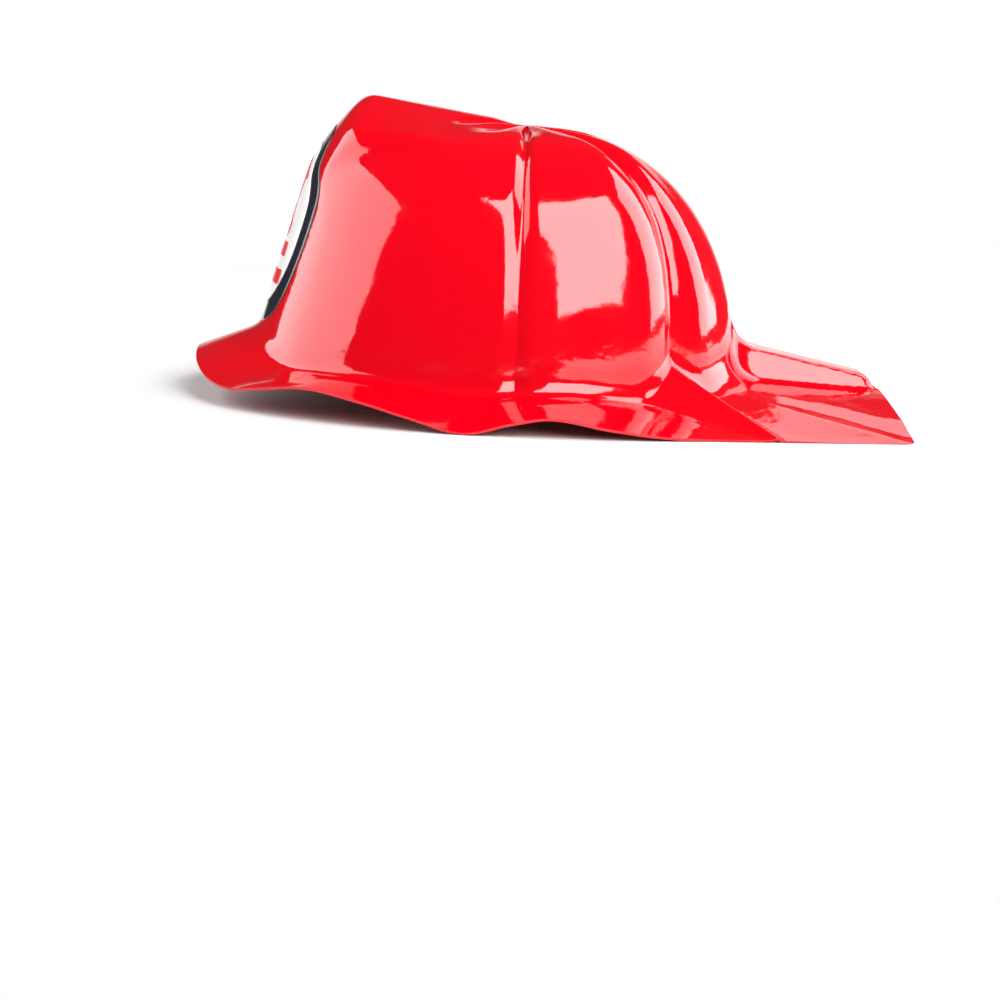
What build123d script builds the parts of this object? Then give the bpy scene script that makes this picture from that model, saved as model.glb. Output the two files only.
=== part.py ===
"""Toy fire chief's helmet: one vacuum-formed plastic shell with a shield-shaped label on its front.

Millimetres.  The brim edge rests on z = 0, the origin is in the middle of the head opening,
the front of the helmet faces -Y and the wearer's left side is +X.
"""
import os
from math import atan2, cos, degrees, hypot, radians, sin, sqrt

from build123d import *

# ---------------------------------------------------------------- sheet
SHEET = 1.0                 # thickness of the formed plastic
TRIM = 0.35                 # the lowest parts of the edge are dressed flat by this much
LIFT = SHEET - TRIM         # which sets the skin this far above the heights given below

# ---------------------------------------------------------------- crown
AXIS_Y = 6.0                # the lobes fan out round a vertical axis through (0, AXIS_Y)
DOME_BASE = 8.0             # height the dome springs from
DOME_TOP = 101.0            # rise of the dome above DOME_BASE
HALF_WIDTH = 82.0           # dome radius to the sides, to the front and to the rear, at its base
FRONT_REACH = 112.0         # the face below cuts this back to BASE_FRONT
BASE_FRONT = 104.7
REAR_REACH = 88.6
PLAN_POWER = 2.05           # 2 is an ellipse, more is squarer
# (azimuth from the front, fullness of the dome's profile)
PROFILE_POWER = ((0, 3.3), (60, 3.2), (93, 2.75), (136, 2.95), (152, 2.5), (180, 2.3))
# creases between the lobes: azimuth, reach forwards, reach rearwards, depth
CREASES = ((89.5, 5.0, 4.5, 2.4), (136.0, 14.0, 12.0, 5.6), (180.0, 21.5, 21.5, 2.5))
CREASE_ROUND = 0.08         # rounding of the crease line, as a share of its reach
PUCKER = 5.0                # radius round the apex in which the creases die out

# ---------------------------------------------------------------- raised block at the front
PEAK_Y, PEAK_Z = -58.0, 118.9
RIDGE_FALL = 0.145          # how fast the ridge drops towards the apex
RIDGE_END_Y, RIDGE_END_Z, RIDGE_END_FALL = -3.0, 110.6, 0.6     # and where it dives into the dome
RIDGE_ROUND = 6.0           # half width of the rounded ridge
PITCH, PITCH_FRONT = 0.29, 0.21                 # slope of the roof, and what is added at the front
PITCH_Y, PITCH_RUN = -30.0, 40.0                # where that steepening starts, and its length
EAVE_HALF, EAVE_Z = 37.0, 100.0
EAVE_FLARE, FLARE_Y, FLARE_RUN = 0.33, -68.0, 40.0      # the block widens rearwards
EAVE_ROUND = 6.0
WALL_DRAFT = 0.22           # the side walls lean out this much downwards
FACE_RADIUS = 70.0          # the label face is curved in plan
# the face's two leans: y at a height, and how far it leans back per millimetre of height
FACE_LOW, FACE_HIGH = (-96.4, 31.8, 0.294), (-72.6, 103.6, 0.90)
FACE_FOLD = 8.0             # softness of the bend between them
STEEP, SLOPED = 0.95, 0.9   # cosines that turn a level or upright distance into a depth

# ---------------------------------------------------------------- brim
# (azimuth, height) of the crown root and of the trimmed edge, (azimuth, softness) of the fold
ROOT = ((0, 25.3), (15, 21.5), (29, 17.0), (42, 15.0), (60, 13.5), (93, 11.5), (105, 12.0),
        (122, 10.0), (137, 10.0), (152, 12.5), (180, 14.5))
EDGE = ((0, 15.8), (14, 12.0), (24, 8.4), (32, 7.4), (40, 9.6), (50, 12.2), (60, 9.4), (70, 4.6),
        (80, 0.1), (89, 4.2), (97, 6.8), (108, 3.4), (120, 0.6), (136, 0.0), (151.5, -0.3),
        (160, 4.6), (180, 10.4))
FOLD = ((0, 4.0), (60, 4.0), (93, 5.5), (136, 6.0), (160, 12.0), (180, 12.0))
BRIM_HALF, BRIM_FRONT, BRIM_REAR = 109.8, 128.8, 118.0
BRIM_POWER = 2.35
TAIL_SIDE = ((108.6, 30.0), (83.0, 157.0))      # the straight side of the tail, plan view
TAIL_AZ, TAIL_RUN = 92.0, 22.0                  # azimuths over which the oval edge turns into it
TAIL_Y, TAIL_SKEW = 151.5, 0.055                # its nearly straight rear edge
RIB_START, RIB_END = 93.0, 146.5                # the middle rib: where it runs,
RIB_HALF = (13.5, 8.5)                          # its half width at both ends
RIB_Z = (26.5, 16.0)                            # and the height of its top
RIB_SIDE_SLOPE, RIB_END_SLOPE = 2.4, 1.4
SIDE_RIB_AZ, SIDE_RIB_RISE = 136.0, 9.5         # the two slanting ribs, which fade to
SIDE_RIB_LEAST = 1.0                            # this height at the edge
SIDE_RIB_SLOPE = (0.55, 0.75)                   # slopes of their front and rear flanks
RIDGE_SOFT, RIB_SOFT = 1.5, 2.0                 # rounding of their crests and feet

# ---------------------------------------------------------------- label
FILM = 0.25                 # thickness of each printed layer
GLUE = 0.08                 # it sits this far off the surface below
# shields seen from the front: (height, half width) from the bottom up
SHIELD = ((28.4, 11.0), (29.0, 17.0), (30.3, 22.5), (32.2, 26.2), (34.8, 29.2), (38.5, 31.9), (46.5, 34.8),
          (59.0, 36.8), (72.0, 36.8), (79.0, 35.8), (84.0, 33.0), (88.0, 29.0), (92.0, 25.8),
          (97.0, 23.6), (101.5, 20.6), (104.5, 16.6), (106.4, 11.0), (107.0, 6.0))
PANEL = ((35.6, 6.0), (36.2, 11.0), (38.0, 16.5), (41.5, 21.5), (46.5, 25.6), (52.0, 28.0),
         (60.0, 29.4), (71.0, 29.3), (77.0, 28.0), (82.0, 25.0), (86.5, 21.0), (91.0, 17.8),
         (95.5, 15.6), (98.0, 12.8), (99.4, 8.5), (99.8, 5.0))
# two crossed horns, (distance along, half width); the one behind stops short of the one in front
HORN_Z, HORN_LEAN = 77.5, 40.0
HORN_FRONT = ((-18.0, 2.8), (-15.5, 3.5), (-12.3, 2.1), (5.2, 2.5), (11.5, 3.5), (17.0, 6.4))
HORN_FOOT = ((-18.0, 2.8), (-15.5, 3.5), (-12.3, 2.1), (-4.0, 2.3))
HORN_BELL = ((4.0, 2.5), (8.0, 2.9), (11.5, 3.5), (17.0, 6.4))
BARS = ((57.5, 20.0), (46.8, 24.0))             # height and half length of two plain bars
BAR_HALF, BAR_FLAT, BAR_CORNER = 2.9, 1.2, 1.6  # half height, of its ends' straight part, corner


def smooth_max(a, b, k):
    h = max(k - abs(a - b), 0.0) / k
    return max(a, b) + h * h * k / 4


def smooth_min(a, b, k):
    return -smooth_max(-a, -b, k)


def clamp(t, low=0.0, high=1.0):
    return min(max(t, low), high)


def ease(t):
    t = clamp(t)
    return t * t * (3 - 2 * t)


def spread(start, stop, count):
    return [start + (stop - start) * i / (count - 1) for i in range(count)]


def along(stations, azimuth):
    """Value at an azimuth, read from a smooth curve through the stations."""
    xs, ys = [s[0] for s in stations], [s[1] for s in stations]
    last = len(xs) - 1
    slope = [0.0] + [(ys[j + 1] - ys[j - 1]) / (xs[j + 1] - xs[j - 1]) for j in range(1, last)]
    slope.append(0.0)
    i = max(j for j in range(last) if xs[j] <= azimuth)
    h = xs[i + 1] - xs[i]
    t = (azimuth - xs[i]) / h
    return ((2 * t**3 - 3 * t**2 + 1) * ys[i] + (t**3 - 2 * t**2 + t) * h * slope[i]
            + (3 * t**2 - 2 * t**3) * ys[i + 1] + (t**3 - t**2) * h * slope[i + 1])


# The skin is where inside() is zero.  Each of the next four gives a signed depth, positive inside.
def dome(az, r, z):
    """The lobed dome."""
    s, c = sin(radians(az)), cos(radians(az))
    reach = FRONT_REACH if c > 0 else REAR_REACH
    plan = ((s / HALF_WIDTH)**PLAN_POWER + abs(c / reach)**PLAN_POWER)**(-1 / PLAN_POWER)
    n = along(PROFILE_POWER, az)
    rise = max(z - DOME_BASE, 0.0)
    rho = hypot(r, rise)
    full = rho / ((r / plan)**n + (rise / DOME_TOP)**n)**(1 / n)
    dip = 0.0
    for crease, ahead, behind, depth in CREASES:
        u = (crease - az) / ahead if az < crease else (az - crease) / behind
        u = hypot(u, CREASE_ROUND) - CREASE_ROUND
        dip += depth * max(1 - u, 0.0)**2
    return full - dip * r / (r + PUCKER) - rho


def block(x, y, z):
    """The raised block behind the label: two roof slopes and two side walls."""
    flare = EAVE_FLARE * clamp(y - FLARE_Y, 0.0, FLARE_RUN)
    side = STEEP * (EAVE_HALF + flare + WALL_DRAFT * (EAVE_Z - z) - x)
    side = smooth_min(side, SLOPED * (AXIS_Y - y), EAVE_ROUND)
    ridge = smooth_min(PEAK_Z - RIDGE_FALL * (y - PEAK_Y),
                       RIDGE_END_Z - RIDGE_END_FALL * (y - RIDGE_END_Y), 2.5)
    pitch = PITCH + PITCH_FRONT * ease((PITCH_Y - y) / PITCH_RUN)
    roof = SLOPED * (ridge - pitch * (hypot(x, RIDGE_ROUND) - RIDGE_ROUND) - z)
    return smooth_min(side, roof, EAVE_ROUND)


def face(x, y, z):
    """Behind the bowed front face, which leans back more steeply above the label."""
    low, high = [at + lean * (z - height) for at, height, lean in (FACE_LOW, FACE_HIGH)]
    return STEEP * (y - smooth_max(low, high, FACE_FOLD) - x * x / (2 * FACE_RADIUS))


def edge_radius(az):
    """Plan radius of the trimmed edge about the lobe axis."""
    s, c = sin(radians(az)), -cos(radians(az))
    reach = BRIM_FRONT if c < 0 else BRIM_REAR
    oval = ((s / BRIM_HALF)**BRIM_POWER + abs(c / reach)**BRIM_POWER)**(-1 / BRIM_POWER)
    if c <= 0:
        return oval
    (x1, y1), (x2, y2) = TAIL_SIDE
    nx, ny = y2 - y1, x1 - x2
    side = (nx * x1 + ny * (y1 - AXIS_Y)) / (nx * s + ny * c)
    rear = min((TAIL_Y - AXIS_Y) / max(c - TAIL_SKEW * s, 0.05), 400.0)
    tail = smooth_max(oval, smooth_min(side, rear, 7.0), 5.0)
    return oval + (tail - oval) * ease((az - TAIL_AZ) / TAIL_RUN)


def brim(az, r, z):
    """Below the brim and its three ribs."""
    s, c = sin(radians(az)), -cos(radians(az))
    x, y = r * s, AXIS_Y + r * c
    inner = ((s / HALF_WIDTH)**2 + (c / (BASE_FRONT if c < 0 else REAR_REACH))**2)**-0.5
    t = max((r - inner) / (edge_radius(az) - inner), -1.0)
    top = along(ROOT, az) + (along(EDGE, az) - along(ROOT, az)) * t
    off = abs(az - SIDE_RIB_AZ) * radians(1) * r
    rise = SIDE_RIB_RISE * (1 - clamp(t)) + SIDE_RIB_LEAST
    top = smooth_max(top, top + rise - off * SIDE_RIB_SLOPE[az > SIDE_RIB_AZ], RIDGE_SOFT)
    if y > TAIL_SIDE[0][1]:
        run = min((y - RIB_START) / (RIB_END - RIB_START), 1.0)
        crest = RIB_Z[0] + (RIB_Z[1] - RIB_Z[0]) * run
        half = RIB_HALF[0] + (RIB_HALF[1] - RIB_HALF[0]) * run
        bar = smooth_min(crest, crest + RIB_SIDE_SLOPE * (half - x), RIB_SOFT)
        bar = smooth_min(bar, crest + RIB_END_SLOPE * (RIB_END - y), RIB_SOFT)
        top = smooth_max(top, bar, RIB_SOFT)
    return top - z


def inside(az, r, z):
    x, y = r * sin(radians(az)), AXIS_Y - r * cos(radians(az))
    # the block's seams are crisp at the roof and soften lower down
    body = smooth_max(dome(az, r, z), block(x, y, z), 2.5 + 20.0 * ease((EAVE_Z - 1 - z) / 38.0))
    crown = smooth_min(body, face(x, y, z), 5.0 + 5.0 * ease((EAVE_Z - z) / 20.0))
    return smooth_max(crown, STEEP * brim(az, r, z), along(FOLD, az))


HUB = -60.0                 # every point of the skin is in sight of this height on the axis
NEAREST, FARTHEST = 20.0, 260.0                 # and this far from it
HALVINGS = 36               # steps of the search for the skin
STEPS = 160                 # trial points along one meridian


def skin(az, turn):
    """(r, z) of the skin on the ray that leaves the hub at an elevation of `turn` degrees."""
    c, s = cos(radians(turn)), sin(radians(turn))
    near, far = NEAREST, FARTHEST
    for _ in range(HALVINGS):
        middle = (near + far) / 2
        if inside(az, middle * c, HUB + middle * s) > 0:
            near = middle
        else:
            far = middle
    return near * c, HUB + near * s


def meridian(az, first, last, count):
    """Evenly spaced (r, z) points of the skin between two elevations."""
    dense = [skin(az, turn) for turn in spread(first, last, STEPS + 1)]
    run = [0.0]
    for a, b in zip(dense, dense[1:]):
        run.append(run[-1] + hypot(b[0] - a[0], b[1] - a[1]))
    points, j = [], 0
    for i in range(count):
        want = run[-1] * i / (count - 1)
        while j < len(run) - 2 and run[j + 1] < want:
            j += 1
        t = (want - run[j]) / (run[j + 1] - run[j])
        points.append([a + (b - a) * t for a, b in zip(dense[j], dense[j + 1])])
    return points


def turn_where(reached):
    """Elevation at which reached(turn) becomes false, searching downwards from the apex."""
    low, high = 8.0, 84.0
    for _ in range(HALVINGS):
        middle = (low + high) / 2
        low, high = (low, middle) if reached(middle) else (middle, high)
    return (low + high) / 2


def rim_turn(az):
    return turn_where(lambda turn: skin(az, turn)[0] < edge_radius(az))


def strip(az, points, low, high):
    """Closed outline, in the half plane at azimuth az, of the sheet between two skin offsets."""
    def moved(distance):
        out = []
        for i, (r, z) in enumerate(points):
            a, b = points[max(i - 1, 0)], points[min(i + 1, len(points) - 1)]
            size = hypot(b[0] - a[0], b[1] - a[1])
            nr, nz = (a[1] - b[1]) / size, (b[0] - a[0]) / size
            q = r + nr * distance
            out.append(Vector(q * sin(radians(az)), AXIS_Y - q * cos(radians(az)),
                              z + nz * distance + LIFT))
        return out
    over, under = moved(high), moved(low)[::-1]
    even = [i / (len(points) - 1) for i in range(len(points))]
    return Face(Wire([Edge.make_spline(over, parameters=even), Edge.make_line(over[-1], under[0]),
                      Edge.make_spline(under, parameters=even),
                      Edge.make_line(under[-1], over[0])]))


# ---------------------------------------------------------------- the formed shell
APEX = 88.6                 # above this elevation a small button closes the shell
BUTTON_LAP = 0.6            # which overlaps the shell by this much
POINTS = 64                 # points along each section
# azimuths of the sections, closer together where the shape turns quickly
SECTORS = ((0, 1.2, 2.6, 4.2, 6.0, 8.0, 10.5, 13.5, 17.0, 21.0, 25.0, 29.5, 34.0, 39.0, 45.0, 52.0,
            60.0, 68.0, 75.0, 80.0, 83.0, 84.8, 86.4, 87.8, 88.7, 89.2, 89.5),
           (89.5, 89.8, 90.4, 91.4, 92.8, 94.4, 96.5, 100.0, 105.0, 110.5, 116.0, 121.5, 126.5,
            130.0, 132.5, 134.3, 135.3, 136.0),
           (136.0, 136.7, 137.7, 139.5, 142.0, 144.5, 147.0, 149.0, 150.4, 151.6, 153.0, 155.0,
            158.0, 161.0, 164.0, 167.0, 170.0, 172.5, 174.5, 176.5, 178.2, 180.0))

with BuildPart() as shell:
    for stations in SECTORS:
        loft([strip(az, meridian(az, APEX, rim_turn(az), POINTS), -SHEET, 0.0) for az in stations])
    mirror(about=Plane.YZ)
    button_radius, button_top = skin(60.0, APEX)
    with Locations((0, AXIS_Y, button_top + LIFT - SHEET / 2)):
        Cylinder(button_radius + BUTTON_LAP, SHEET * 1.3)
    # dress the resting edge flat on z = 0
    with Locations((0, 0, -10)):
        Box(400, 400, 20, mode=Mode.SUBTRACT)
shell.part.label = "shell"

# ---------------------------------------------------------------- the printed label
def face_y(x, z):
    """Where the front face stands at (x, z)."""
    out, back = -BRIM_FRONT, PITCH_Y
    for _ in range(HALVINGS):
        y = (out + back) / 2
        az = degrees(atan2(abs(x), AXIS_Y - y))
        out, back = (out, y) if inside(az, hypot(x, y - AXIS_Y), z - LIFT) > 0 else (y, back)
    return back


def on_face(x, z, height):
    """The point straight in front of (x, z) that is this far off the front face."""
    y, step = face_y(x, z), 0.5
    nx = (face_y(x + step, z) - face_y(x - step, z)) / (2 * step)
    nz = (face_y(x, z + step) - face_y(x, z - step)) / (2 * step)
    return Vector(x, y - height * sqrt(nx * nx + nz * nz + 1), z)


def level(stations, count):
    """Rows across a shield at evenly spaced heights."""
    heights = spread(stations[0][0], stations[-1][0], count)
    return [((-along(stations, z), z), (along(stations, z), z)) for z in heights]


def slanted(stations, lean, count):
    """Rows across a bar that leans sideways and passes through (0, HORN_Z)."""
    s, c = sin(radians(lean)), cos(radians(lean))
    rows = []
    for u in spread(stations[0][0], stations[-1][0], count):
        w = along(stations, u)
        rows.append(((u * s - w * c, HORN_Z + u * c + w * s),
                     (u * s + w * c, HORN_Z + u * c - w * s)))
    return rows


def printed(rows, layer, count=13, ruled=False):
    """Loft a printed layer through rows, each from one (x, z) to another across the layer."""
    low, high = FILM * (layer - 1) + GLUE * layer, FILM * layer + GLUE * layer
    even = spread(0.0, 1.0, count)
    slices = []
    for (x1, z1), (x2, z2) in rows:
        across = [(x1 + (x2 - x1) * t, z1 + (z2 - z1) * t) for t in even]
        front = [on_face(x, z, high) for x, z in across]
        rear = [on_face(x, z, low) for x, z in across[::-1]]
        slices.append(Wire([
            Edge.make_spline(front, parameters=even), Edge.make_line(front[-1], rear[0]),
            Edge.make_spline(rear, parameters=even), Edge.make_line(rear[-1], front[0])]))
    add(Solid.make_loft(slices, ruled))


with BuildPart() as label_base:
    printed(level(SHIELD, 32), 1)
label_base.part.label = "label_base"

with BuildPart() as label_panel:
    printed(level(PANEL, 26), 2)
label_panel.part.label = "label_panel"

with BuildPart() as label_emblem:
    printed(slanted(HORN_FRONT, HORN_LEAN, 16), 3, 5, ruled=True)
    printed(slanted(HORN_FOOT, -HORN_LEAN, 8), 3, 5, ruled=True)
    printed(slanted(HORN_BELL, -HORN_LEAN, 7), 3, 5, ruled=True)
label_emblem.part.label = "label_emblem"

with BuildPart() as label_bars:
    for z, half in BARS:
        outline = ((-BAR_HALF, half - BAR_CORNER), (-BAR_FLAT, half), (BAR_FLAT, half),
                   (BAR_HALF, half - BAR_CORNER))
        printed([((-w, z + up), (w, z + up)) for up, w in outline], 3)
label_bars.part.label = "label_bars"

# ---------------------------------------------------------------- output
os.makedirs("parts", exist_ok=True)
export_step(shell.part, "parts/shell.step")
export_step(label_base.part, "parts/label_base.step")
export_step(label_panel.part, "parts/label_panel.step")
export_step(label_emblem.part, "parts/label_emblem.step")
export_step(label_bars.part, "parts/label_bars.step")
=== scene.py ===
"""Looks of the toy fire chief's helmet: a formed plastic shell, a printed label and a studio."""

from math import atan, cos, radians, sin

import bpy
import numpy as np
from mathutils import Matrix, Vector


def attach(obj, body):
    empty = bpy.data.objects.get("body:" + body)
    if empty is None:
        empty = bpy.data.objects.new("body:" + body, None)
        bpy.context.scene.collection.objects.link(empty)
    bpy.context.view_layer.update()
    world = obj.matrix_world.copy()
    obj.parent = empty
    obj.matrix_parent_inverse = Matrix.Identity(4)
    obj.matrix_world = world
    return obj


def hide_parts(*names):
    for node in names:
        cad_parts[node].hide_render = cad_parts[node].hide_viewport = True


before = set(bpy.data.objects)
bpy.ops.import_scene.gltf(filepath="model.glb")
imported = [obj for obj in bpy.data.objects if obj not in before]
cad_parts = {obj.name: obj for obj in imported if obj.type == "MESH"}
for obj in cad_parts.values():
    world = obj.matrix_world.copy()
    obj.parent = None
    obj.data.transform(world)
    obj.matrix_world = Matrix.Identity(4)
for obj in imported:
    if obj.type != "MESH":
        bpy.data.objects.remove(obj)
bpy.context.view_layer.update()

# -------------------------------------------------------- sizes in millimetres, as in the CAD
# thickness of the formed sheet, and how far its outer skin stands above the heights given below
SHEET, LIFT = 1.0, 0.65

# the lobed dome round a vertical axis through (0, AXIS_Y)
AXIS_Y = 6.0
DOME_BASE, DOME_TOP, HALF_WIDTH = 8.0, 101.0, 82.0
FRONT_REACH, BASE_FRONT, REAR_REACH, PLAN_POWER = 112.0, 104.7, 88.6, 2.05
# (azimuth from the front, fullness of the profile)
PROFILE_POWER = ((0, 3.3), (60, 3.2), (93, 2.75), (136, 2.95), (152, 2.5), (180, 2.3))
# creases between the lobes: azimuth, reach forwards, reach rearwards, depth
CREASES = ((89.5, 5.0, 4.5, 2.4), (136.0, 14.0, 12.0, 5.6), (180.0, 21.5, 21.5, 2.5))
CREASE_ROUND, PUCKER = 0.08, 5.0

# the raised block at the front: ridge, roof slopes, side walls and label face
PEAK_Y, PEAK_Z, RIDGE_FALL = -58.0, 118.9, 0.145
RIDGE_END_Y, RIDGE_END_Z, RIDGE_END_FALL, RIDGE_END_ROUND = -3.0, 110.6, 0.6, 2.5
RIDGE_ROUND, EAVE_ROUND = 6.0, 6.0
PITCH, PITCH_FRONT, PITCH_Y, PITCH_RUN = 0.29, 0.21, -30.0, 40.0
EAVE_HALF, EAVE_Z, EAVE_FLARE, FLARE_Y, FLARE_RUN = 37.0, 100.0, 0.33, -68.0, 40.0
WALL_DRAFT, FACE_RADIUS, FACE_FOLD = 0.22, 70.0, 8.0
FACE_LOW, FACE_HIGH = (-96.4, 31.8, 0.294), (-72.6, 103.6, 0.90)
STEEP, SLOPED = 0.95, 0.9       # cosines that turn a level or upright distance into a depth
# softness of the block's and the face's seams: at the eaves, what is added below, and how far down
SEAM, SEAM_MORE, SEAM_RUN = 2.5, 20, 38
FACE_SEAM, FACE_SEAM_MORE, FACE_SEAM_RUN = 5, 5, 20

# the brim: (azimuth, height) of the crown root and of the trimmed edge,
# and (azimuth, softness) of the fold
ROOT = ((0, 25.3), (15, 21.5), (29, 17.0), (42, 15.0), (60, 13.5), (93, 11.5), (105, 12.0),
        (122, 10.0), (137, 10.0), (152, 12.5), (180, 14.5))
EDGE = ((0, 15.8), (14, 12.0), (24, 8.4), (32, 7.4), (40, 9.6), (50, 12.2), (60, 9.4), (70, 4.6),
        (80, 0.1), (89, 4.2), (97, 6.8), (108, 3.4), (120, 0.6), (136, 0.0), (151.5, -0.3),
        (160, 4.6), (180, 10.4))
FOLD = ((0, 4.0), (60, 4.0), (93, 5.5), (136, 6.0), (160, 12.0), (180, 12.0))
BRIM_HALF, BRIM_FRONT, BRIM_REAR, BRIM_POWER = 109.8, 128.8, 118.0, 2.35
TAIL_SIDE, TAIL_Y, TAIL_SKEW = ((108.6, 30.0), (83.0, 157.0)), 151.5, 0.055
TAIL_AZ, TAIL_RUN = 92.0, 22.0          # azimuths over which the oval edge turns into the tail
TAIL_CORNER, TAIL_SOFT, TAIL_FARTHEST = 7.0, 5.0, 400
RIB_START, RIB_END, RIB_HALF, RIB_Z = 93.0, 146.5, (13.5, 8.5), (26.5, 16.0)
RIB_SIDE_SLOPE, RIB_END_SLOPE = 2.4, 1.4
SIDE_RIB_AZ, SIDE_RIB_RISE, SIDE_RIB_LEAST, SIDE_RIB_SLOPE = 136.0, 9.5, 1.0, (0.55, 0.75)
RIDGE_SOFT, RIB_SOFT = 1.5, 2.0

# every point of the skin is in sight of this height on the axis, and this far from it
HUB, NEAREST, FARTHEST = -60.0, 20.0, 260.0
HALVINGS = 34                   # steps of a search

# the label: thickness of each layer and its gap to the surface below
FILM, GLUE = 0.25, 0.08
# (height, half width) from the bottom up
SHIELD = ((28.4, 11.0), (29.0, 17.0), (30.3, 22.5), (32.2, 26.2), (34.8, 29.2), (38.5, 31.9),
          (46.5, 34.8), (59.0, 36.8), (72.0, 36.8), (79.0, 35.8), (84.0, 33.0), (88.0, 29.0),
          (92.0, 25.8), (97.0, 23.6), (101.5, 20.6), (104.5, 16.6), (106.4, 11.0), (107.0, 6.0))
PANEL = ((35.6, 6.0), (36.2, 11.0), (38.0, 16.5), (41.5, 21.5), (46.5, 25.6), (52.0, 28.0),
         (60.0, 29.4), (71.0, 29.3), (77.0, 28.0), (82.0, 25.0), (86.5, 21.0), (91.0, 17.8),
         (95.5, 15.6), (98.0, 12.8), (99.4, 8.5), (99.8, 5.0))
# two crossed horns, (distance along, half width); the one behind stops short of the other
HORN_Z, HORN_LEAN = 77.5, 40.0
HORN_FRONT = ((-18.0, 2.8), (-15.5, 3.5), (-12.3, 2.1), (5.2, 2.5), (11.5, 3.5), (17.0, 6.4))
HORN_FOOT = ((-18.0, 2.8), (-15.5, 3.5), (-12.3, 2.1), (-4.0, 2.3))
HORN_BELL = ((4.0, 2.5), (8.0, 2.9), (11.5, 3.5), (17.0, 6.4))
BARS = ((57.5, 20.0), (46.8, 24.0))     # height and half length
BAR_HALF, BAR_CORNER = 2.9, 1.6


# -------------------------------------------------------- the shape, for whole arrays
def smooth_max(a, b, k):
    h = np.maximum(k - np.abs(a - b), 0) / k
    return np.maximum(a, b) + h * h * k / 4


def smooth_min(a, b, k):
    return -smooth_max(-a, -b, k)


def ease(t):
    t = np.clip(t, 0, 1)
    return t * t * (3 - 2 * t)


def along(stations, at):
    """Values read from a smooth curve through the stations."""
    xs, ys = np.array(stations, float).T
    i = np.clip(np.searchsorted(xs, at, side="right") - 1, 0, len(xs) - 2)
    slope = np.zeros(len(xs))
    slope[1:-1] = (ys[2:] - ys[:-2]) / (xs[2:] - xs[:-2])
    h = xs[i + 1] - xs[i]
    t = (at - xs[i]) / h
    return ((2 * t**3 - 3 * t**2 + 1) * ys[i] + (t**3 - 2 * t**2 + t) * h * slope[i]
            + (3 * t**2 - 2 * t**3) * ys[i + 1] + (t**3 - t**2) * h * slope[i + 1])


# The skin is where inside() is zero. It and the functions it is made of, apart from edge_radius,
# give a signed depth, positive inside.
def dome(az, r, z):
    """The lobed dome."""
    s, c = np.sin(np.radians(az)), np.cos(np.radians(az))
    reach = np.where(c > 0, FRONT_REACH, REAR_REACH)
    plan = ((s / HALF_WIDTH)**PLAN_POWER + np.abs(c / reach)**PLAN_POWER)**(-1 / PLAN_POWER)
    n = along(PROFILE_POWER, az)
    rise = np.maximum(z - DOME_BASE, 0)
    rho = np.hypot(r, rise)
    full = rho / ((r / plan)**n + (rise / DOME_TOP)**n)**(1 / n)
    dip = 0
    for crease, ahead, behind, depth in CREASES:
        u = np.where(az < crease, (crease - az) / ahead, (az - crease) / behind)
        u = np.hypot(u, CREASE_ROUND) - CREASE_ROUND
        dip = dip + depth * np.maximum(1 - u, 0)**2
    return full - dip * r / (r + PUCKER) - rho


def block(x, y, z):
    """The raised block behind the label: two roof slopes and two side walls."""
    flare = EAVE_FLARE * np.clip(y - FLARE_Y, 0, FLARE_RUN)
    side = STEEP * (EAVE_HALF + flare + WALL_DRAFT * (EAVE_Z - z) - x)
    side = smooth_min(side, SLOPED * (AXIS_Y - y), EAVE_ROUND)
    ridge = smooth_min(PEAK_Z - RIDGE_FALL * (y - PEAK_Y),
                       RIDGE_END_Z - RIDGE_END_FALL * (y - RIDGE_END_Y),
                       RIDGE_END_ROUND)
    pitch = PITCH + PITCH_FRONT * ease((PITCH_Y - y) / PITCH_RUN)
    roof = SLOPED * (ridge - pitch * (np.hypot(x, RIDGE_ROUND) - RIDGE_ROUND) - z)
    return smooth_min(side, roof, EAVE_ROUND)


def face(x, y, z):
    """Behind the bowed front face, which leans back more steeply above the label."""
    low, high = [at + lean * (z - height) for at, height, lean in (FACE_LOW, FACE_HIGH)]
    return STEEP * (y - smooth_max(low, high, FACE_FOLD) - x * x / (2 * FACE_RADIUS))


def edge_radius(az):
    """Plan radius of the trimmed edge about the lobe axis."""
    s, c = np.sin(np.radians(az)), -np.cos(np.radians(az))
    reach = np.where(c < 0, BRIM_FRONT, BRIM_REAR)
    oval = ((s / BRIM_HALF)**BRIM_POWER + np.abs(c / reach)**BRIM_POWER)**(-1 / BRIM_POWER)
    (x1, y1), (x2, y2) = TAIL_SIDE
    nx, ny = y2 - y1, x1 - x2
    side = (nx * x1 + ny * (y1 - AXIS_Y)) / np.maximum(nx * s + ny * c, 1e-3)
    rear = np.minimum((TAIL_Y - AXIS_Y) / np.maximum(c - TAIL_SKEW * s, 0.05), TAIL_FARTHEST)
    tail = smooth_max(oval, smooth_min(side, rear, TAIL_CORNER), TAIL_SOFT)
    return oval + (tail - oval) * ease((az - TAIL_AZ) / TAIL_RUN)


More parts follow.
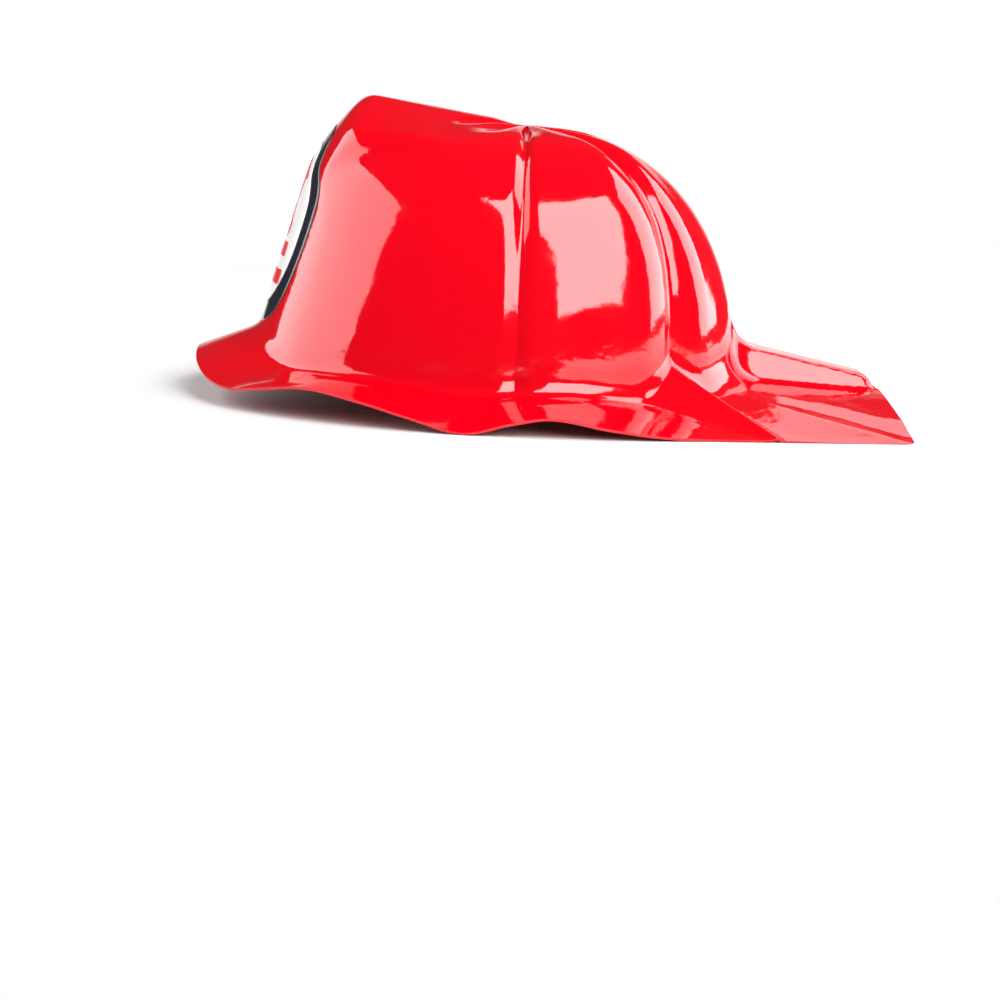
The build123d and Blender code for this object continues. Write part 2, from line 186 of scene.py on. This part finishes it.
def brim(az, r, z):
    """Below the brim and its three ribs."""
    s, c = np.sin(np.radians(az)), -np.cos(np.radians(az))
    x, y = r * s, AXIS_Y + r * c
    inner = ((s / HALF_WIDTH)**2 + (c / np.where(c < 0, BASE_FRONT, REAR_REACH))**2)**-0.5
    t = np.maximum((r - inner) / (edge_radius(az) - inner), -1)
    top = along(ROOT, az) + (along(EDGE, az) - along(ROOT, az)) * t
    off = np.abs(az - SIDE_RIB_AZ) * radians(1) * r
    rise = SIDE_RIB_RISE * (1 - np.clip(t, 0, 1)) + SIDE_RIB_LEAST
    slope = np.where(az > SIDE_RIB_AZ, SIDE_RIB_SLOPE[1], SIDE_RIB_SLOPE[0])
    top = smooth_max(top, top + rise - off * slope, RIDGE_SOFT)
    run = np.minimum((y - RIB_START) / (RIB_END - RIB_START), 1)
    crest = RIB_Z[0] + (RIB_Z[1] - RIB_Z[0]) * run
    half = RIB_HALF[0] + (RIB_HALF[1] - RIB_HALF[0]) * run
    bar = smooth_min(crest, crest + RIB_SIDE_SLOPE * (half - x), RIB_SOFT)
    bar = smooth_min(bar, crest + RIB_END_SLOPE * (RIB_END - y), RIB_SOFT)
    return np.where(y > TAIL_SIDE[0][1], smooth_max(top, bar, RIB_SOFT), top) - z


def inside(az, r, z):
    """The whole helmet."""
    x, y = r * np.sin(np.radians(az)), AXIS_Y - r * np.cos(np.radians(az))
    # the block's seams are crisp at the roof and soften lower down
    seam = SEAM + SEAM_MORE * ease((EAVE_Z - 1 - z) / SEAM_RUN)
    body = smooth_max(dome(az, r, z), block(x, y, z), seam)
    seam = FACE_SEAM + FACE_SEAM_MORE * ease((EAVE_Z - z) / FACE_SEAM_RUN)
    crown = smooth_min(body, face(x, y, z), seam)
    return smooth_max(crown, STEEP * brim(az, r, z), along(FOLD, az))


def halved(low, high, stays_low):
    """Where stays_low turns false between two arrays of limits."""
    for _ in range(HALVINGS):
        middle = (low + high) / 2
        keep = stays_low(middle)
        low, high = np.where(keep, middle, low), np.where(keep, high, middle)
    return (low + high) / 2


def skin(az, turn):
    """(r, z) of the skin on the rays that leave the hub at elevations of `turn` degrees."""
    c, s = np.cos(np.radians(turn)), np.sin(np.radians(turn))
    az, _, near, far = np.broadcast_arrays(az, turn, NEAREST, FARTHEST)
    reach = halved(near, far, lambda m: inside(az, m * c, HUB + m * s) > 0)
    return reach * c, HUB + reach * s


# -------------------------------------------------------- meshes and materials
def mesh_piece(name, points, faces, materials, kinds=None):
    """A smooth-shaded mesh object from millimetre points. kinds numbers each face's material."""
    mesh = bpy.data.meshes.new(name)
    mesh.from_pydata((np.asarray(points) * 0.001).tolist(), [], faces)
    for material in materials:
        mesh.materials.append(material)
    if kinds is not None:
        mesh.polygons.foreach_set("material_index", np.asarray(kinds, np.int32))
    mesh.polygons.foreach_set("use_smooth", np.full(len(mesh.polygons), True))
    mesh.update()
    piece = bpy.data.objects.new(name, mesh)
    bpy.context.scene.collection.objects.link(piece)
    return piece


def plastic(name, colour, roughness, ior=1.5):
    material = bpy.data.materials.new(name)
    material.use_nodes = True
    shader = material.node_tree.nodes["Principled BSDF"]
    shader.inputs["Base Color"].default_value = (*colour, 1)
    shader.inputs["Roughness"].default_value = roughness
    shader.inputs["IOR"].default_value = ior
    return material


def map_range(nodes, from_min, from_max, to_min=0.0, to_max=1.0):
    band = nodes.new("ShaderNodeMapRange")
    for name, value in (("From Min", from_min), ("From Max", from_max),
                        ("To Min", to_min), ("To Max", to_max)):
        band.inputs[name].default_value = value
    return band


def add_noise(material, scale, detail, low, high):
    """A noise on the surface that runs between two values."""
    nodes, links = material.node_tree.nodes, material.node_tree.links
    place = nodes.new("ShaderNodeTexCoord")
    noise = nodes.new("ShaderNodeTexNoise")
    noise.inputs["Scale"].default_value = scale
    noise.inputs["Detail"].default_value = detail
    band = map_range(nodes, 0.3, 0.7, low, high)
    links.new(place.outputs["Object"], noise.inputs["Vector"])
    links.new(noise.outputs["Fac"], band.inputs["Value"])
    return band.outputs["Result"]


def add_grain(material, smear, bumps, distance):
    """Uneven roughness and fine bumps, each from a noise, with the bumps' height in metres."""
    nodes, links = material.node_tree.nodes, material.node_tree.links
    shader = nodes["Principled BSDF"]
    links.new(add_noise(material, *smear), shader.inputs["Roughness"])
    bump = nodes.new("ShaderNodeBump")
    bump.inputs["Distance"].default_value = distance
    links.new(add_noise(material, *bumps), bump.inputs["Height"])
    links.new(bump.outputs["Normal"], shader.inputs["Normal"])


gloss = plastic("red_gloss", (0.56, 0.0, 0.006), 0.06, 1.58)
add_grain(gloss, (55, 3, 0.045, 0.095), (160, 2, 0, 1), 0.000035)
lining = plastic("red_inside", (0.5, 0.0, 0.006), 0.24)
add_grain(lining, (90, 4, 0.2, 0.32), (900, 3, 0, 1), 0.00003)
cut = plastic("red_cut_edge", (0.6, 0.01, 0.018), 0.4)
ink_black = plastic("label_black", (0.012, 0.012, 0.02), 0.1, 1.55)
ink_white = plastic("label_white", (0.8, 0.8, 0.79), 0.22)
ink_red = plastic("label_red", (0.66, 0.004, 0.012), 0.24)


# -------------------------------------------------------- the formed shell
FIRST = 89.5                # elevation of the ring round the apex, seen from the hub
LOWEST, HIGHEST = -80, -10  # negated elevations between which the trimmed edge lies
AROUND, DOWN = 220, 108     # half the meridians, and points along each
FINE, TRIALS = 3601, 420    # azimuths and points that those are spaced from
# where meridians stand closer: azimuth, spread and extra density
CLOSER = ((28, 10, 1.2), (89.5, 5, 2.6), (136, 6, 2.0), (150.4, 2.5, 3.5), (174, 6, 1.6))
# slow ripples of the drawn sheet: size, wave length, direction and start
RIPPLES = ((0.050, 41, (1.0, 0.3, -0.5), 0.4), (0.034, 27, (-0.4, 1.0, 0.6), 1.9),
           (0.020, 15, (0.7, -0.6, 1.0), 3.1), (0.012, 9.5, (-1.0, -0.5, 0.8), 5.0))
CIRCLE = 6.283              # radians in one wave
# wrinkles where the creases meet: size, how many round the apex, start; middle and spread outwards
WRINKLE, WRINKLES, WRINKLE_START, WRINKLE_OUT, WRINKLE_SPREAD = 0.75, 11, 60, 19, 14
# neither reaches the label face (azimuth, and the run over which they grow) or the edge (share)
CALM_AZ, CALM_RUN, CALM_EDGE = 17, 14, 0.05


def meridians():
    """Skin points of one half of the helmet, evenly spaced along each meridian."""
    fine = np.linspace(0, 180, FINE)
    density = 1 + sum(extra * np.exp(-((fine - at) / width)**2) for at, width, extra in CLOSER)
    run = np.concatenate([[0], np.cumsum((density[1:] + density[:-1]) / 2)])
    az = np.interp(np.linspace(0, run[-1], AROUND + 1), run, fine)
    lowest = halved(np.full_like(az, LOWEST), np.full_like(az, HIGHEST),
                    lambda m: skin(az, -m)[0] < edge_radius(az))
    turns = FIRST + (-lowest[:, None] - FIRST) * np.linspace(0, 1, TRIALS)
    r, z = skin(az[:, None], turns)
    run = np.cumsum(np.hypot(np.diff(r), np.diff(z)), axis=1)
    run = np.concatenate([np.zeros((len(az), 1)), run], axis=1)
    even = np.linspace(0, 1, DOWN)
    r = np.array([np.interp(even * w[-1], w, row) for w, row in zip(run, r)])
    z = np.array([np.interp(even * w[-1], w, row) for w, row in zip(run, z)])
    p = np.radians(az)[:, None]
    return az, np.stack([r * np.sin(p), AXIS_Y - r * np.cos(p), z + LIFT], axis=-1)


def make_shell():
    """The sheet with its outer skin, lining and cut edge, rippled inwards only."""
    az, half = meridians()
    other = half[1:-1][::-1] * (-1, 1, 1)
    skin_points = np.concatenate([half, other])
    around = len(skin_points)
    azimuth = np.concatenate([az, az[1:-1][::-1]])[:, None]
    to_edge = 1 - np.linspace(0, 1, DOWN)[None, :]
    calm = ease((azimuth - CALM_AZ) / CALM_RUN) * ease(to_edge / CALM_EDGE)
    out = np.hypot(skin_points[..., 0], skin_points[..., 1] - AXIS_Y)
    wave = 1 + np.cos(np.radians(azimuth * WRINKLES + WRINKLE_START))
    wrinkle = WRINKLE * wave * np.exp(-((out - WRINKLE_OUT) / WRINKLE_SPREAD)**2)
    ripple = wrinkle + sum(
        size * (1 + np.sin(skin_points @ np.array(way) * (CIRCLE / length) + start))
        for size, length, way, start in RIPPLES)
    sideways = np.roll(skin_points, -1, 0) - np.roll(skin_points, 1, 0)
    normal = np.cross(np.gradient(skin_points, axis=1), sideways)
    normal /= np.linalg.norm(normal, axis=-1, keepdims=True)
    skin_points = skin_points - normal * (ripple * calm)[..., None]
    lining_points = skin_points - normal * SHEET
    for points in (skin_points, lining_points):
        points[..., 2] = np.maximum(points[..., 2], 0)
    top = skin_points[:, 0].mean(0) + (0, 0, 0.02)
    points = np.concatenate([skin_points.reshape(-1, 3), lining_points.reshape(-1, 3),
                             [top, top - (0, 0, SHEET)]])
    below, apex = around * DOWN, 2 * around * DOWN
    faces, kinds = [], []
    for i in range(around):
        a, b = i * DOWN, (i + 1) % around * DOWN
        for j in range(DOWN - 1):
            faces.append((a + j, a + j + 1, b + j + 1, b + j))
            faces.append((below + b + j, below + b + j + 1, below + a + j + 1, below + a + j))
        kinds += [0, 1] * (DOWN - 1)
        end_a, end_b = a + DOWN - 1, b + DOWN - 1
        faces += [(apex, a, b), (apex + 1, below + b, below + a),
                  (end_a, below + end_a, below + end_b, end_b)]
        kinds += [0, 1, 2]
    piece = mesh_piece("shell_formed", points, faces, [gloss, lining, cut], kinds)
    # the trimmed edge is crisp
    ends = np.arange(around) * DOWN + DOWN - 1
    edge_set = {frozenset((int(e), int(f))) for row in (ends, ends + below)
                for e, f in zip(row, np.roll(row, -1))}
    sharp = [frozenset(e.vertices) in edge_set for e in piece.data.edges]
    marks = piece.data.attributes.new("sharp_edge", "BOOLEAN", "EDGE")
    marks.data.foreach_set("value", sharp)
    return piece


shell = make_shell()
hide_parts("shell")


# -------------------------------------------------------- the printed label
# the rim of each layer is rounded over, as ink and lacquer leave it: the lip's width, the share of
# the thickness left at the rim, and the spacing that rows are taken to have there
LIP, LIP_LEAST, ROW = 0.6, 0.35, 0.5


def face_y(x, z):
    """Where the front face is, straight behind (x, z)."""
    def outside(y):
        az = np.degrees(np.arctan2(np.abs(x), AXIS_Y - y))
        return inside(az, np.hypot(x, y - AXIS_Y), z - LIFT) <= 0
    return halved(np.full_like(x, -BRIM_FRONT), np.full_like(x, PITCH_Y), outside)


def on_face(x, z, height):
    """Points straight in front of (x, z), this far off the front face."""
    step = 0.5
    nx = face_y(x + step, z) - face_y(x - step, z)
    nz = face_y(x, z + step) - face_y(x, z - step)
    y = face_y(x, z) - height * np.sqrt((nx / (2 * step))**2 + (nz / (2 * step))**2 + 1)
    return np.stack([x, y, z], axis=-1)


def film(rows, layer, across):
    """Points and faces of a printed layer. rows holds the left and right (x, z) of each row."""
    low, high = FILM * (layer - 1) + GLUE * layer, FILM * layer + GLUE * layer
    rows = np.asarray(rows, float)
    t = np.linspace(0, 1, across)[None, :, None]
    place = rows[:, :1] + (rows[:, 1:] - rows[:, :1]) * t
    count = len(rows)
    lip = 2 * (rows[:, 1] - rows[:, 0])[:, None, :] * np.minimum(t, 1 - t)
    up = np.minimum(np.arange(count), np.arange(count)[::-1])[:, None]
    lip = np.minimum(np.hypot(lip[..., 0], lip[..., 1]) / 2, up * ROW) / LIP
    rounded = low + (high - low) * (LIP_LEAST + (1 - LIP_LEAST) * np.sqrt(np.clip(lip, 0, 1)))
    x, z = place[..., 0], place[..., 1]
    points = np.concatenate([on_face(x, z, rounded).reshape(-1, 3),
                             on_face(x, z, np.full_like(x, low)).reshape(-1, 3)])
    back, faces = count * across, []
    for i in range(count - 1):
        for j in range(across - 1):
            a = i * across + j
            b = a + across
            faces.append((a, a + 1, b + 1, b))
            faces.append((back + a, back + b, back + b + 1, back + a + 1))
    outline = ([j for j in range(across)] + [i * across + across - 1 for i in range(1, count)]
               + [(count - 1) * across + j for j in range(across - 2, -1, -1)]
               + [i * across for i in range(count - 2, 0, -1)])
    for a, b in zip(outline, outline[1:] + outline[:1]):
        faces.append((a, back + a, back + b, b))
    return points, faces


def joined(parts):
    """Several films as one list of points and one of faces."""
    points, faces, shift = [], [], 0
    for part_points, part_faces in parts:
        points.append(part_points)
        faces += [tuple(v + shift for v in f) for f in part_faces]
        shift += len(part_points)
    return np.concatenate(points), faces


def level(stations, count):
    """Level rows of a symmetric outline."""
    heights = np.linspace(stations[0][0], stations[-1][0], count)
    half = along(stations, heights)
    return [((-w, z), (w, z)) for w, z in zip(half, heights)]


def slanted(stations, lean, count):
    """Rows of a horn that leans by this many degrees."""
    s, c = sin(radians(lean)), cos(radians(lean))
    rows = []
    for u in np.linspace(stations[0][0], stations[-1][0], count):
        w = along(stations, u)
        rows.append(((u * s - w * c, HORN_Z + u * c + w * s),
                     (u * s + w * c, HORN_Z + u * c - w * s)))
    return rows


def bar(z, half):
    """Rows of a bar with rounded ends."""
    rows = []
    for up in np.linspace(-BAR_HALF, BAR_HALF, 25):
        over = max(abs(up) - (BAR_HALF - BAR_CORNER), 0) / BAR_CORNER
        w = half - BAR_CORNER * (1 - np.sqrt(max(1 - over * over, 0)))
        rows.append(((-w, z + up), (w, z + up)))
    return rows


LABEL = (
    ("label_border", "label_base", "label_black", ink_black, [film(level(SHIELD, 150), 1, 91)]),
    ("label_field", "label_panel", "label_white", ink_white, [film(level(PANEL, 120), 2, 71)]),
    ("label_horns", "label_emblem", "label_red", ink_red,
     [film(slanted(HORN_FRONT, HORN_LEAN, 56), 3, 15),
      film(slanted(HORN_FOOT, -HORN_LEAN, 24), 3, 15),
      film(slanted(HORN_BELL, -HORN_LEAN, 24), 3, 15)]),
    ("label_lines", "label_bars", "label_red", ink_red,
     [film(bar(z, half), 3, 91) for z, half in BARS]))
label = []
for name, node, slot, material, parts in LABEL:
    piece = mesh_piece(name, *joined(parts), [material])
    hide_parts(node)
    label.append(piece)

for piece in [shell, *label]:
    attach(piece, "root")


# -------------------------------------------------------- floor, lights and camera
def stage_piece(name, points, faces, colour):
    """A matt piece of the studio, which isn't part of the object."""
    material = plastic(name, colour, 0.9)
    shader = material.node_tree.nodes["Principled BSDF"]
    shader.inputs["Specular IOR Level"].default_value = 0.1
    piece = mesh_piece(name, points, faces, [material])
    return piece


FLOOR, FLOOR_X = 850.0, -250.0      # radius and middle, so that little of it lies before the helmet
FLOOR_SIDES = 96
rim = [(FLOOR * cos(a), FLOOR * sin(a), 0)
       for a in np.linspace(0, 2 * np.pi, FLOOR_SIDES + 1)[:-1]]
floor = stage_piece("floor", rim, [tuple(range(FLOOR_SIDES))], (0.7, 0.7, 0.7))
floor.location = (FLOOR_X * 0.001, 0, -0.0002)


def fade_to_white(material, start, end):
    """Makes the floor glow between two radii in metres, so that it meets a white surround."""
    nodes, links = material.node_tree.nodes, material.node_tree.links
    place = nodes.new("ShaderNodeTexCoord")
    distance = nodes.new("ShaderNodeVectorMath")
    distance.operation = "LENGTH"
    band = map_range(nodes, start, end)
    band.interpolation_type = "SMOOTHSTEP"
    links.new(place.outputs["Object"], distance.inputs[0])
    links.new(distance.outputs["Value"], band.inputs["Value"])
    surface = nodes["Principled BSDF"]
    surface.inputs["Emission Color"].default_value = (1, 1, 1, 1)
    links.new(band.outputs["Result"], surface.inputs["Emission Strength"])


fade_to_white(floor.data.materials[0], 0.35, 0.75)


def softbox(name, azimuth, elevation, distance, width, height, power, target=(0, 0, 0.07)):
    """A panel light aimed at the target. Azimuth 0 is +X and 90 is +Y."""
    lamp = bpy.data.lights.new(name, "AREA")
    lamp.shape, lamp.size, lamp.size_y = "RECTANGLE", width, height
    lamp.energy = power
    a, e = radians(azimuth), radians(elevation)
    way = Vector((cos(a) * cos(e), sin(a) * cos(e), sin(e)))
    light = bpy.data.objects.new(name, lamp)
    light.location = Vector(target) + way * distance
    light.visible_camera = False
    light.rotation_mode = "QUATERNION"
    light.rotation_quaternion = way.to_track_quat("Z", "Y")
    bpy.context.scene.collection.objects.link(light)


softbox("front_box", -93, 26, 1.3, 1.75, 1.24, 24)
softbox("near_box", 33, 36, 1.5, 0.9, 1.55, 38)
softbox("rear_box", 106, 29, 1.3, 0.98, 1.5, 27)
softbox("tail_box", 168, 29, 0.6, 0.1, 0.14, 0.055, target=(0.09, 0.13, 0.01))

world = bpy.data.worlds.new("studio")
world.use_nodes = True
bpy.context.scene.world = world
# a white surround to look at, with a dim one to light and mirror except low down at the far side
nodes, links = world.node_tree.nodes, world.node_tree.links
seen, way = nodes.new("ShaderNodeLightPath"), nodes.new("ShaderNodeTexCoord")
split = nodes.new("ShaderNodeSeparateXYZ")
backdrop = map_range(nodes, -0.92, -0.985, 0.05, 1.0)
links.new(way.outputs["Generated"], split.inputs["Vector"])
links.new(split.outputs["X"], backdrop.inputs["Value"])
brightest = nodes.new("ShaderNodeMath")
brightest.operation = "MAXIMUM"
links.new(seen.outputs["Is Camera Ray"], brightest.inputs[0])
links.new(backdrop.outputs["Result"], brightest.inputs[1])
nodes["Background"].inputs["Color"].default_value = (1, 1, 1, 1)
links.new(brightest.outputs["Value"], nodes["Background"].inputs["Strength"])

CAMERA = (0.9848, 0.00157, 0.13105)
TILT, ROLL = radians(10), radians(2.5)
HALF_VIEW = 0.205                   # half the picture's width at a distance of 1
right, rise = Vector((0, 1, 0)), Vector((-sin(TILT), 0, cos(TILT)))
lens = bpy.data.cameras.new("camera")
lens.sensor_width = lens.sensor_height = 36
lens.lens_unit = "FOV"
lens.angle = 2 * atan(HALF_VIEW)
camera = bpy.data.objects.new("camera", lens)
camera.matrix_world = Matrix.Translation(CAMERA) @ Matrix((
    right * cos(ROLL) + rise * sin(ROLL), rise * cos(ROLL) - right * sin(ROLL),
    (cos(TILT), 0, sin(TILT)))).transposed().to_4x4()
bpy.context.scene.collection.objects.link(camera)
bpy.context.scene.camera = camera
bpy.context.scene.view_settings.view_transform = "Standard"
